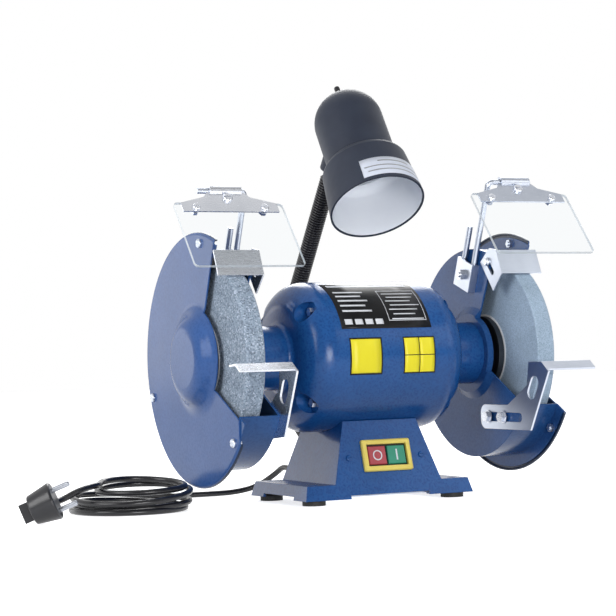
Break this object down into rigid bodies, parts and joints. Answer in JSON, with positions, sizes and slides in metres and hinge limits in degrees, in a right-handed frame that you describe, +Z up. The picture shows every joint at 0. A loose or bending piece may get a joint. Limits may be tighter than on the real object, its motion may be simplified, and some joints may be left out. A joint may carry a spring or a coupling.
{
  "type": "bench grinder",
  "caption": "Bench grinder with guarded grinding wheels on a motor shaft, adjustable tool rests, spark plates, clear eye shields and a gooseneck lamp",
  "frame": {"origin": "on the bench plane under the middle of the motor, at the centre of the bench bolts", "axes": "+X along the shaft to the right wheel, +Y to the rear with the switch facing -Y, +Z up"},
  "size_m": [0.603, 0.3171, 0.425],
  "materials": {
    "blue_paint": "hammered blue paint, semi-gloss",
    "cover_paint": "hammered blue-grey paint",
    "bottom_zinc": "zinc-plated sheet",
    "zinc": "zinc-plated steel",
    "steel": "turned steel",
    "bearing_steel": "ground bearing steel",
    "laminations": "stacked sheet steel",
    "copper": "enamelled copper wire",
    "coarse_abrasive": "coarse grey vitrified abrasive",
    "fine_abrasive": "fine grey-blue vitrified abrasive",
    "blotter_paper": "matte card",
    "bush_plastic": "plain moulded plastic",
    "rubber": "matte black rubber",
    "black_plastic": "matte black plastic",
    "yellow_plastic": "yellow plastic",
    "red_plastic": "red plastic",
    "green_plastic": "green plastic",
    "grey_plastic": "grey plastic",
    "shade_paint": "matte black paint outside, white inside",
    "hose_black": "black flexible steel hose",
    "clear_acrylic": "clear sheet",
    "cord_pvc": "black flexible cord"
  },
  "bodies": {
    "frame": {"base_casting": "blue_paint", "base_bottom_plate": "bottom_zinc", "base_screws": "zinc", "rubber_feet": "rubber", "switch_housing": "black_plastic", "switch_bezel": "yellow_plastic", "capacitor": "grey_plastic", "terminal_block": "bush_plastic", "cord_gland": "black_plastic", "motor_shell": "blue_paint", "left_end_bell": "blue_paint", "right_end_bell": "blue_paint", "through_bolts": "zinc", "stator_core": "laminations", "stator_windings": "copper", "bearing_outer_races": "bearing_steel", "left_inner_guard": "blue_paint", "right_inner_guard": "blue_paint", "left_outer_cover": "cover_paint", "right_outer_cover": "cover_paint", "cover_screws": "zinc", "guard_mount_screws": "zinc", "guard_bolts": "zinc", "left_shield_clamp": "zinc", "right_shield_clamp": "zinc", "lamp_neck_base": "black_plastic", "lamp_neck_lower": "hose_black", "cord_lead": "cord_pvc", "cord_coil": "cord_pvc", "cord_tail": "cord_pvc", "plug_body": "black_plastic", "plug_pins": "steel"},
    "rotor": {"shaft": "steel", "rotor_core": "laminations", "bearing_inner_races": "bearing_steel", "left_grinding_wheel": "coarse_abrasive", "right_grinding_wheel": "fine_abrasive", "wheel_bushes": "bush_plastic", "wheel_blotters": "blotter_paper", "wheel_flanges": "zinc", "spindle_nuts": "steel"},
    "bearing_ball_sets": {"bearing_balls": "bearing_steel"},
    "left_rest": {"left_tool_rest": "zinc"},
    "right_rest": {"right_tool_rest": "zinc"},
    "left_spark": {"left_spark_plate": "zinc"},
    "right_spark": {"right_spark_plate": "zinc"},
    "left_rod": {"left_shield_rod": "zinc"},
    "right_rod": {"right_shield_rod": "zinc"},
    "left_shield": {"left_shield_bracket": "zinc", "left_eye_shield": "clear_acrylic", "left_shield_screws": "zinc"},
    "right_shield": {"right_shield_bracket": "zinc", "right_eye_shield": "clear_acrylic", "right_shield_screws": "zinc"},
    "stop_key": {"stop_button": "red_plastic"},
    "start_key": {"start_button": "green_plastic"},
    "lamp_neck": {"lamp_neck_upper": "hose_black"},
    "lamp_head": {"lamp_shade": "shade_paint", "lamp_holder": "black_plastic"},
    "lamp_knob": {"lamp_switch_knob": "black_plastic"}
  },
  "joints": [
    {"name": "rotor_spin", "type": "hinge", "parent": "frame", "child": "rotor", "pos_m": [0, 0, 0.1445], "axis": [1, 0, 0], "continuous": true},
    {"name": "ball_orbit", "type": "hinge", "parent": "frame", "child": "bearing_ball_sets", "pos_m": [0, 0, 0.1445], "axis": [1, 0, 0], "continuous": true},
    {"name": "left_rest_slide", "type": "slide", "parent": "frame", "child": "left_rest", "axis": [0, 0.9962, -0.0872], "range_m": [-0.01, 0.002]},
    {"name": "left_spark_slide", "type": "slide", "parent": "frame", "child": "left_spark", "axis": [0, -0.6115, -0.7912], "range_m": [-0.004, 0.0015]},
    {"name": "left_shield_height", "type": "slide", "parent": "frame", "child": "left_rod", "axis": [0, -0.3584, 0.9336], "range_m": [-0.005, 0.004]},
    {"name": "left_shield_tilt", "type": "hinge", "parent": "left_rod", "child": "left_shield", "pos_m": [0, -0.0205, 0.3085], "axis": [1, 0, 0], "range_deg": [-55, 2]},
    {"name": "right_rest_slide", "type": "slide", "parent": "frame", "child": "right_rest", "axis": [0, 1, 0], "range_m": [-0.003, 0.014]},
    {"name": "right_spark_slide", "type": "slide", "parent": "frame", "child": "right_spark", "axis": [0, -0.6115, -0.7912], "range_m": [-0.004, 0.0015]},
    {"name": "right_shield_height", "type": "slide", "parent": "frame", "child": "right_rod", "axis": [0, -0.3584, 0.9336], "range_m": [-0.005, 0.004]},
    {"name": "right_shield_tilt", "type": "hinge", "parent": "right_rod", "child": "right_shield", "pos_m": [0, -0.04614, 0.3195], "axis": [1, 0, 0], "range_deg": [-55, 2]},
    {"name": "stop_press", "type": "slide", "parent": "frame", "child": "stop_key", "axis": [0, 0.964, -0.2661], "range_m": [0, 0.002], "stiffness_N_per_m": 600, "springref_m": -0.001},
    {"name": "start_press", "type": "slide", "parent": "frame", "child": "start_key", "axis": [0, 0.964, -0.2661], "range_m": [0, 0.002], "stiffness_N_per_m": 600, "springref_m": -0.001},
    {"name": "lamp_neck_bend", "type": "hinge", "parent": "frame", "child": "lamp_neck", "pos_m": [0, 0.13553, 0.2123], "axis": [1, 0, 0], "range_deg": [-8, 8]},
    {"name": "lamp_head_tilt", "type": "hinge", "parent": "lamp_neck", "child": "lamp_head", "pos_m": [0, 0.04546, 0.34093], "axis": [1, 0, 0], "range_deg": [-20, 20]},
    {"name": "lamp_switch_press", "type": "slide", "parent": "lamp_head", "child": "lamp_knob", "axis": [-0.04, -0.5736, -0.8182], "range_m": [0, 0.0015], "stiffness_N_per_m": 600, "springref_m": -0.001}
  ],
  "couplings": [
    {"joint": "ball_orbit", "follows": "rotor_spin", "ratio": 0.3821}
  ]
}
